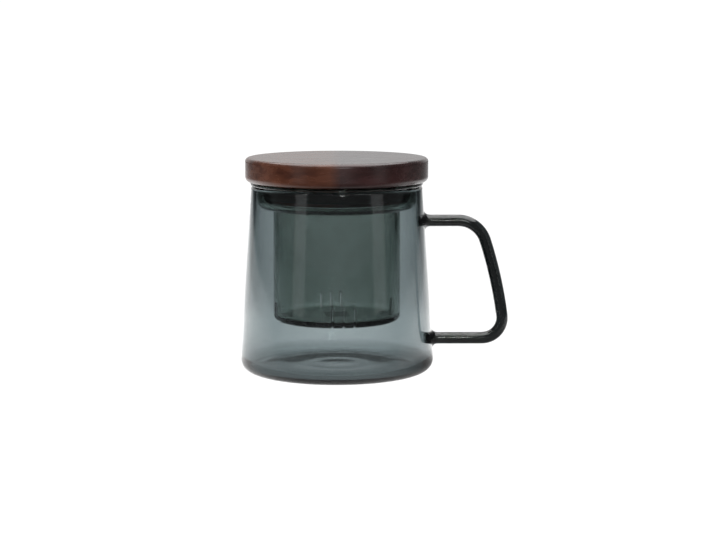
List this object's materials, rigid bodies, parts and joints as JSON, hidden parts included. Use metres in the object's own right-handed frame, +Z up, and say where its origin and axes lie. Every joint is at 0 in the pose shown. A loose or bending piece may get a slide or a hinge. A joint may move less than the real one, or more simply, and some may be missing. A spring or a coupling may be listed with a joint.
{
  "type": "lidded tea mug with infuser",
  "caption": "Smoke-glass tea mug with a melted-on rod handle, a hanging glass infuser with sawn slits and a lift-off wooden lid that seals in the infuser's collar.",
  "frame": {"origin": "middle of the mug's foot on the table, on the mug's axis", "axes": "+Z up along the mug's axis, +X towards the handle, +Y away from the viewer of the picture, to the back"},
  "size_m": [0.1257, 0.0904, 0.1],
  "materials": {
    "mug_glass": "clear smoke-grey borosilicate glass, fire polished",
    "handle_glass": "smoke-grey borosilicate rod, clear through, dark by its thickness",
    "infuser_glass": "clear smoke-grey borosilicate glass with sawn slits",
    "lid_wood": "dark brown stained wood, satin oil",
    "seal_silicone": "matt dark silicone"
  },
  "bodies": {
    "mug": {"mug_body": "mug_glass", "mug_handle": "handle_glass"},
    "infuser": {"infuser": "infuser_glass"},
    "lid": {"lid": "lid_wood", "lid_seal": "seal_silicone"}
  },
  "joints": [
    {"name": "infuser_lift", "type": "slide", "parent": "mug", "child": "infuser", "axis": [0, 0, 1], "range_m": [0, 0.08]},
    {"name": "lid_lift", "type": "slide", "parent": "infuser", "child": "lid", "axis": [0, 0, 1], "range_m": [0, 0.05]}
  ]
}
